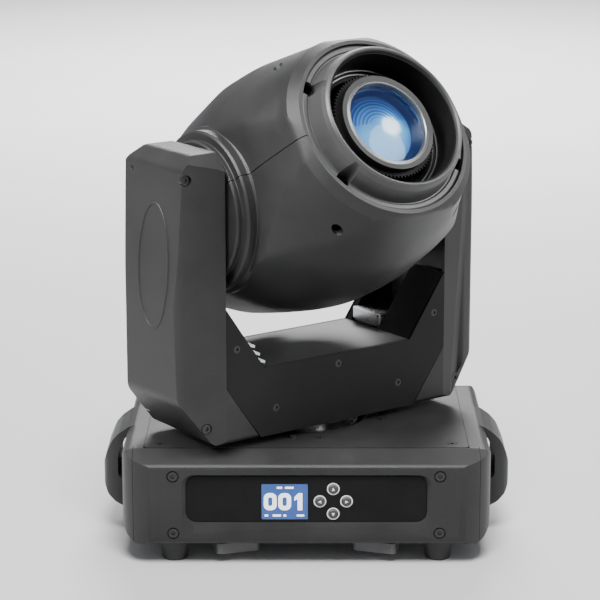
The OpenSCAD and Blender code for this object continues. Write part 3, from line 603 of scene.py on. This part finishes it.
def painted_reflection_material():
    """Blue coated inner optics whose emitted and base colours are painted reflections: a painted white
    highlight and painted reflected rings about the lens axis, pale towards the middle.
    """
    m, b = new_material("coated_optics_painted_reflections")
    at = node(m, "ShaderNodeAttribute", attribute_name="ring").outputs["Fac"]
    n = node(m, "ShaderNodeTexNoise", {"Scale": 55, "Detail": 3,
                                       "Vector": node(m, "ShaderNodeTexCoord").outputs["Object"]})
    n = node(m, "ShaderNodeMath", {0: n.outputs[0], 1: 0.12}, operation="MULTIPLY")
    f = node(m, "ShaderNodeMath", {0: at, 1: n.outputs[0]}, operation="ADD")
    # emitted colour: a painted white highlight at the low end, then painted blue reflections darkening
    # towards the rim
    c = ramp(m, f.outputs[0], [(0.14, (1.0, 1.0, 1.0)), (0.34, (0.08, 0.28, 0.44)),
                               (0.56, (0.02, 0.10, 0.28)), (0.8, (0.005, 0.025, 0.11)),
                               (1.0, (0.002, 0.006, 0.03))])
    m.node_tree.links.new(c, b.inputs["Emission Color"])
    # the base colour follows the same painted reflections
    c = ramp(m, f.outputs[0], [(0.2, (0.05, 0.09, 0.12)), (1.0, (0.004, 0.01, 0.03))])
    m.node_tree.links.new(c, b.inputs["Base Color"])
    # the painted reflections are emitted, so the disc glows though it is no lamp
    b.inputs["Emission Strength"].default_value = 2.2
    b.inputs["Specular IOR Level"].default_value = 0.15
    b.inputs["Roughness"].default_value = 0.3
    return m


# a shallow dish whose bottom is the disc with the painted reflections and highlight, with a raised wall round
# it
DISC_R = 26.0
bowl = [(DISC_R * i / 60, 112.5 - 3.0 * (i / 60) ** 2) for i in range(61)]
bowl += [(26.4, 109.2), (27.0, 109.6), (29, 112), (31.5, 117.2), (31.5, 104), (0, 104)]
bowl = lathe("inner_optics", bowl, LENS, 128)
# the ring attribute holds the tone of the painted reflections and highlight
attribute = bowl.data.attributes.new("ring", "FLOAT", "POINT")
to_lens = LENS.inverted()
values = []
for v in bowl.data.vertices:
    x, y, z = to_lens @ v.co
    r = math.hypot(x, y)
    # the emitted colour paints a white highlight beside the middle, reflected streaks in the upper half and a
    # darker upper rim
    painted_highlight = math.exp(-((x - 10) ** 2 + (y - 3) ** 2) / 55)
    painted_streaks = 0.2 * (math.sin(2.3 * r) > 0.2) * (y > 5) * (r > 9)
    shade = 0.32 + 0.3 * min(1, max(0, (y + 3) / 22)) + 0.18 * (r / DISC_R) ** 4 + painted_streaks - 0.6 * painted_highlight
    values.append(1.0 if r > DISC_R + 0.2 else min(0.9, max(0, shade)))
attribute.data.foreach_set("value", values)
bowl.data.shade_smooth()
piece(bowl, "head", painted_reflection_material(), "lens")


# ---------- yoke ----------
ARM_TOP, ARM_FOOT, ARM_DEEP, ARM_WIDE = 311.5, 92, 42, 141
# the arm's inner side, and how far its inner outlines run on past it, so that it stays open there
ARM_IN, ARM_OPEN = 103.7, 20


def three_way(name, front, plan, edge, place):
    """The form that fits an arm's outlines seen from the front, from above and from the side."""
    return meet(prism(name, front, "y", -ARM_DEEP, ARM_DEEP, place), prism("plan", plan, "z", 80, 330, place),
                prism("edge", edge, "x", ARM_OPEN, 150, place))


def arm(name, place):
    """A moulded arm cover: three outlines meet, the inner side is open, the corners are softened."""
    front = fillet([(ARM_IN, ARM_TOP), (125.7, ARM_TOP), (135.7, 302), (ARM_WIDE, 200), (140.3, 127),
                    (114, ARM_FOOT), (73.5, ARM_FOOT), (ARM_IN, 134.4)], [0, 7, 9, 60, 14, 9, 0.6, 1.5], 7)
    # the roundings stay exactly within the top and the foot
    front = [(x, min(z, ARM_TOP) if z > 200 else max(z, ARM_FOOT)) for x, z in front]
    plan = fillet([(ARM_OPEN, -ARM_DEEP), (ARM_IN, -ARM_DEEP), (ARM_WIDE, -33.5), (ARM_WIDE, 38),
                   (136, ARM_DEEP), (ARM_OPEN, ARM_DEEP)], [0, 3, 8, 5, 4, 0], 7)
    edge = fillet([(-ARM_DEEP, ARM_FOOT), (ARM_DEEP, ARM_FOOT), (ARM_DEEP, 299.5), (30, ARM_TOP),
                   (-30, ARM_TOP), (-ARM_DEEP, 299.5)], [4, 4, 5, 5, 5, 5], 5)
    cover = three_way(name, front, plan, edge, place)
    top, foot, deep, wide = ARM_TOP - WALL, ARM_FOOT + WALL, ARM_DEEP - WALL, ARM_WIDE - WALL
    front = [(ARM_OPEN, top), (125.7, top), (135.7 - WALL, 302), (wide, 200), (139.5 - WALL, 133),
             (114 - WALL, foot), (ARM_OPEN, foot)]
    plan = [(ARM_OPEN, -deep), (ARM_IN, -deep), (wide, -33 + WALL), (wide, 33 - WALL), (ARM_IN, deep),
            (ARM_OPEN, deep)]
    edge = [(-ARM_DEEP, ARM_FOOT), (ARM_DEEP, ARM_FOOT), (ARM_DEEP, 299.5 - WALL), (30, top), (-30, top),
            (-ARM_DEEP, 299.5 - WALL)]
    hollow = three_way("hollow", front, plan, edge, place)
    wells = []
    for back in (-1, 1):
        # each screw as (distance from the middle, height, depth of its seat)
        for x, z, seat in ((133, 294, 32), (119.5, 106, 36)):
            cut(hollow, rod("boss", (x, back * (seat - 4), z), (0, back, 0), 6.5, 40, place, 40))
            well = rod("well", (x, back * seat, z), (0, back, 0), 4.2, 30, place, 40)
            if back > 0:
                # a wall is left between the rear recess and the arm's outer face
                cut(well, block("wall", (min(134.6, x + 3.4), 0, 80), (150, 90, 320), place))
            wells += [well, rod("hole", (x, back * (seat - 9), z), (0, back, 0), 1.4, 12, place, 20)]
    return cut(cover, hollow, *wells)


def oval_ring(name, place):
    """A plain raised oval that follows the arm's outer face."""
    steps, half_wide, half_tall, height = 96, 20, 47, 226
    # the ring's section, as (growth of the oval, rise off the face)
    section = ((-1.1, -0.4), (-0.7, 0.45), (0.0, 0.7), (0.7, 0.45), (1.1, -0.4))
    sides = len(section)
    verts, faces = [], []
    for k in range(steps):
        a = 2 * math.pi * k / steps
        for grow, rise in section:
            y, z = (half_wide + grow) * math.cos(a), height + (half_tall + grow) * math.sin(a)
            x = np.interp(z, (133, 200, 302), (139.5, ARM_WIDE, 135.7))
            verts.append((x + rise, y, z))
    for k in range(steps):
        ahead = (k + 1) % steps
        for i in range(sides):
            j = (i + 1) % sides
            faces.append([k * sides + i, k * sides + j, ahead * sides + j, ahead * sides + i])
    return solid(name, verts, faces, place)


for side, n in ((-1, "left_arm_cover"), (1, "right_arm_cover")):
    place = YOKE @ mirrored(side)
    cover = arm(n + "_skin", place)
    finish_mesh(cover, 36, 1.1, 3, 12)
    piece(cover, "yoke", SHELL, "black_moulding", n)
    piece(finish_mesh(oval_ring(n + "_oval", place), 50), "yoke", SHELL, "black_moulding")

# louvres in the left slope, catching the light
fins = []
for i in range(3):
    x, z = -71.5 - 4.6 * i, 150.6 + 6.6 * i
    outline = fillet([(x - 4.4, z + 1.5), (x + 4.6, z - 2.2), (x + 4.9, z - 0.2), (x - 3, z + 3.8)], 0.3, 2)
    fins.append(prism("fin", outline, "y", -38.8, -17, YOKE))
piece(finish_mesh(join("floor_louvres", fins), 30), "yoke", ALU, "glossy_floor")


# ---------- base ----------
# half the width and half the depth between the handles, and the heights of the top and the lower edge
W, D, TOP, FOOT = 139.0, 104.0, 86.5, 15.0


def base_solid(name, inset=0.0):
    """The base's outer form; with an inset it is the form of its hollow, which is open below."""
    foot = FOOT - 5 if inset else FOOT
    wide, deep, top, bevel = W - inset, D - inset, TOP - inset, 77.7 - 0.4 * inset
    ledge = 84 - 0.5 * inset
    side = fillet([(-deep, foot), (deep, foot), (deep, bevel), (ledge, top), (-ledge, top), (-deep, bevel)],
                  [8, 8, 5, 12, 12, 5], 7)
    face = fillet([(-wide, foot), (wide, foot), (wide, top), (-wide, top)], [16, 16, 8, 8], 8)
    plan = fillet([(-wide, -deep), (wide, -deep), (wide, deep), (-wide, deep)], 28 - inset, 14)
    return meet(prism(name, side, "x", -W, W, BASE), prism("face", face, "y", -D, D, BASE),
                prism("plan", plan, "z", 0, 120, BASE))


def loft(name, a, ya, b, yb):
    """A solid between two outlines (x, z) with as many points, at two depths y."""
    n = len(a)
    verts = [(x, ya, z) for x, z in a] + [(x, yb, z) for x, z in b]
    faces = [list(range(n)), [2 * n - 1 - i for i in range(n)]]
    faces += [[i, (i + 1) % n, n + (i + 1) % n, n + i] for i in range(n)]
    return solid(name, verts, faces, BASE)


def rect(x0, z0, x1, z1, r, n=8):
    return fillet([(x0, z0), (x1, z0), (x1, z1), (x0, z1)], r, n)


def skin(name):
    return cut(base_solid(name), base_solid("hollow", WALL))


def end_cover(name):
    o = meet(skin(name), block("keep", (-129.75, -130, 0), (129.75, -80.3, 120), BASE))
    return cut(o, block("top", (-122.3, -84.3, 83.4), (122.3, -60, 120), BASE))


front = end_cover("front")
window = rect(-90, 34, 90, 70, 8)
cut(front, loft("recess", rect(-93.5, 24.6, 93.5, 71.6, 9.5), -104.4, window, -101.4),
    prism("window", window, "y", -106, -95, BASE))
for x in (-99.5, 99.5):
    for z in (25.6, 70):
        cut(front, rod("seat", (x, -102.2, z), (0, -1, 0), 4.6, 9, BASE, 40))
finish_mesh(front, 33, 0.35, 2, 32)
piece(front, "base", BASE_SHELL, "black_moulding", "front_cover")

rear = end_cover("rear")
rear.data.transform(Matrix.Rotation(math.pi, 4, "Z"))
# holes for the sockets and the fuse holder, and a row of vents
for x in (-96, -62, 4, 38, 72, 106):
    cut(rear, rod("socket_hole", (x, 95, 50), (0, 1, 0), 12, 20, BASE, 48))
cut(rear, rod("fuse_hole", (-28, 95, 50), (0, 1, 0), 7, 20, BASE, 48))
for i in range(8):
    cut(rear, prism("vent", rect(-110 + 8 * i, 22, -107 + 8 * i, 30, 1.4, 4), "y", 95, 115, BASE))
finish_mesh(rear, 33, 0.35, 2, 32)
piece(rear, "base", BASE_SHELL, "black_moulding", "rear_cover")

# side caps: what is left of the skin beyond the covers, each with its handle
CAP = [(130, -130), (170, -130), (170, 130), (130, 130), (130, 80), (122, 80), (122, -80), (130, -80)]
for side, n in ((-1, "left_side_cap"), (1, "right_side_cap")):
    place = BASE @ mirrored(side)
    cap = meet(skin(n + "_skin"), prism("keep", CAP, "z", 0, 120, place))
    grip = fillet([(130, 20), (141, 20), (149, 24.5), (155, 30), (158, 37.5), (158, 54), (155.5, 63),
                   (151, 73.5), (145.5, 79.5), (138.5, 84.5), (133, 86.4), (130, 86.4)],
                  [0, 3, 6, 6, 10, 20, 20, 14, 12, 9, 4, 0], 5)
    grip = prism("grip", grip, "y", -27, 27, place)
    grip_plan = fillet([(120, -27), (158, -27), (158, 27), (120, 27)], [0, 12, 12, 0], 8)
    meet(grip, prism("plan", grip_plan, "z", 10, 100, place))
    inner_pad = meet(base_solid("pad"), block("keep", (126, -35, 40), (146, 35, 100), place))
    fuse(cap, inner_pad, grip)
    gap = fillet([(129, 43), (146.5, 43), (146.5, 62), (140.5, 76), (137, 79), (129, 79)],
                 [5, 5, 14, 5, 3, 3], 6)
    cut(cap, prism("gap", gap, "y", -33, 33, place),
        rod("seat", (155, 0, 36), (1, 0, 0), 6, 10, place, 48))
    finish_mesh(cap, 33, 0.9, 3, 32)
    piece(cap, "base", BASE_SHELL, "black_moulding", n)

outline = fillet([(-121.75, -83.75), (121.75, -83.75), (121.75, 83.75), (-121.75, 83.75)], 3, 5)
top = prism("top_panel", outline, "z", TOP - WALL, TOP, BASE)
cut(top, rod("hole", (0, 0, 80), (0, 0, 1), 45, 10, BASE, 96))
for x in (-110, 110):
    for y in (-74, 74):
        cut(top, rod("seat", (x, y, 85.3), (0, 0, 1), 3.7, 5, BASE, 32))
finish_mesh(top, 33, 0.4, 2, 32)
piece(top, "base", BASE_SHELL, "black_moulding", "top_cover")


# ---------- fascia ----------
def flat(name, outline, y, material, slot, body="base", thick=0.12):
    o = prism(name, outline, "y", y - thick, y, BASE)
    return piece(finish_mesh(o, 30), body, material, slot)


def screen_material(name, colour, strength):
    m, b = new_material(name)
    at = node(m, "ShaderNodeTexCoord").outputs["Object"]
    n = node(m, "ShaderNodeTexNoise", {"Vector": at, "Scale": 40, "Detail": 2})
    c = ramp(m, n.outputs[0], [(0.3, tuple(x * 0.85 for x in colour)), (0.7, colour)])
    m.node_tree.links.new(c, b.inputs["Base Color"])
    m.node_tree.links.new(c, b.inputs["Emission Color"])
    b.inputs["Emission Strength"].default_value = strength
    b.inputs["Roughness"].default_value = 0.2
    return m


SCREEN = screen_material("screen_blue", (0.025, 0.07, 0.25), 0.35)
DIGIT = screen_material("screen_white", (0.92, 0.95, 1.0), 0.55)
# the middle of the display and the front of its marks
CX, CZ, FACE = -16.2, 49.8, -101.8
window = rect(CX - 17.3, CZ - 13.8, CX + 17.3, CZ + 13.8, 0.8, 4)
flat("screen", window, FACE + 0.25, SCREEN, "screen", thick=0.3)


def digit_zero(x, z, w, h, t):
    """A rounded zero with its lower left corner at (x, z), in strokes of width t."""
    zero = prism("zero", rect(x, z, x + w, z + h, w * 0.42, 8), "y", FACE - 0.2, FACE, BASE)
    hole = rect(x + t, z + t, x + w - t, z + h - t, w * 0.42 - t * 0.7, 8)
    return cut(zero, prism("hole", hole, "y", FACE - 1, FACE + 1, BASE))


# a generic number of three digits, over a line above it and a line below it
marks = [digit_zero(CX + x, CZ - 6.6, 9.6, 13.4, 3.2) for x in (-15.6, -4.8)]
one = [(7.2, 3.6), (10.4, 6.8), (13.2, 6.8), (13.2, -6.6), (9.6, -6.6), (9.6, 2.2), (7.2, 0.8)]
marks.append(prism("one", [(CX + x, CZ + z) for x, z in one], "y", FACE - 0.2, FACE, BASE))
for x, z, w in ((-6, 10.2, 4.2), (0.2, 10.2, 6.5), (-15, -11.6, 2.6), (-9, -11.6, 6.2), (-1, -11.6, 2.2),
                (9, -11.6, 5.6)):
    bar = rect(CX + x, CZ + z, CX + x + w, CZ + z + 1.6, 0.4, 2)
    marks.append(prism("bar", bar, "y", FACE - 0.15, FACE, BASE))
piece(finish_mesh(join("screen_marks", marks), 30), "base", DIGIT, "screen")



def circle(x, z, r, turns):
    """Points round (x, z), at the angles given in radians."""
    return [(x + r * math.cos(a), z + r * math.sin(a)) for a in turns]


ROUND = [k * math.pi / 32 for k in range(64)]
for n, (x, z), turn in (("up", (20, 59.8), 90), ("down", (20, 40.4), 270), ("left", (10.1, 50.1), 180),
                        ("right", (29.9, 50.1), 0)):
    ring = prism(n + "_button_ring", circle(x, z, 4.7, ROUND), "y", FACE - 0.12, FACE + 0.3, BASE)
    cut(ring, rod("hole", (x, FACE - 5, z), (0, 1, 0), 3.85, 10, BASE, 64))
    piece(finish_mesh(ring, 30), "base", RING_INK, "buttons")
    cap = rod(n + "_button_cap", (x, -96.0, z), (0, -1, 0), 3.4, 7.2, BASE, 64, 0.5)
    piece(finish_mesh(cap, 30), n, BUTTON, "buttons", n + "_button")
    arrow = circle(x, z, 1.5, [math.radians(turn + d) for d in (0, 130, 230)])
    flat(n + "_button_mark", arrow, -103.2, RING_INK, "buttons", body=n, thick=0.06)


# ---------- camera, light and floor ----------
camera = bpy.data.objects.new("camera", bpy.data.cameras.new("camera"))
bpy.context.scene.collection.objects.link(camera)
# solved from points on the base, the yoke and the bezel in the photograph
camera.location = (-0.0002, -1.717, 0.607)
camera.rotation_euler = (math.radians(76.02), 0, 0)
camera.data.lens = 136.9
camera.data.sensor_width = 36
camera.data.shift_x = -0.0102
camera.data.clip_start = 0.05
bpy.context.scene.camera = camera


def area(name, where, towards, size, power):
    """A round area light in metres and watts."""
    light = bpy.data.lights.new(name, "AREA")
    light.energy = power
    light.size = size
    light.shape = "DISK"
    o = bpy.data.objects.new(name, light)
    o.location = where
    o.rotation_euler = (Vector(where) - Vector(towards)).to_track_quat("Z", "Y").to_euler()
    bpy.context.scene.collection.objects.link(o)


area("key", (-1.3, -0.75, 1.75), (0, 0, 0.25), 1.0, 105)
area("over", (0.1, -0.9, 1.9), (0, 0, 0.2), 1.0, 54)
area("rim_light", (1.5, -0.5, 1.3), (0, 0, 0.3), 0.9, 46)
area("behind", (0.1, 2.4, 1.6), (0, 2.3, 0.0), 1.8, 110)
world = bpy.data.worlds.new("studio")
world.use_nodes = True
world.node_tree.nodes["Background"].inputs[0].default_value = (0.95, 0.96, 1.0, 1)
world.node_tree.nodes["Background"].inputs[1].default_value = 0.30
bpy.context.scene.world = world

floor_mesh = bpy.data.meshes.new("floor")
REACH = 20.0
corners = [(-REACH, -REACH, 0), (REACH, -REACH, 0), (REACH, REACH, 0), (-REACH, REACH, 0)]
floor_mesh.from_pydata(corners, [], [(0, 1, 2, 3)])
floor = bpy.data.objects.new("floor", floor_mesh)
bpy.context.scene.collection.objects.link(floor)
paint(floor, grained("pale_floor", (0.86, 0.86, 0.86), (0.9, 0.9, 0.9), (0.6, 0.7), 300, 0.02, 0.0001, 3))
# the key and the rim light are flagged off the floor, so that it stays evenly pale
flagged = bpy.data.collections.new("flagged")
flagged.objects.link(floor)
for name in ("key", "rim_light"):
    bpy.data.objects[name].light_linking.receiver_collection = flagged
flagged.collection_objects[0].light_linking.link_state = "EXCLUDE"
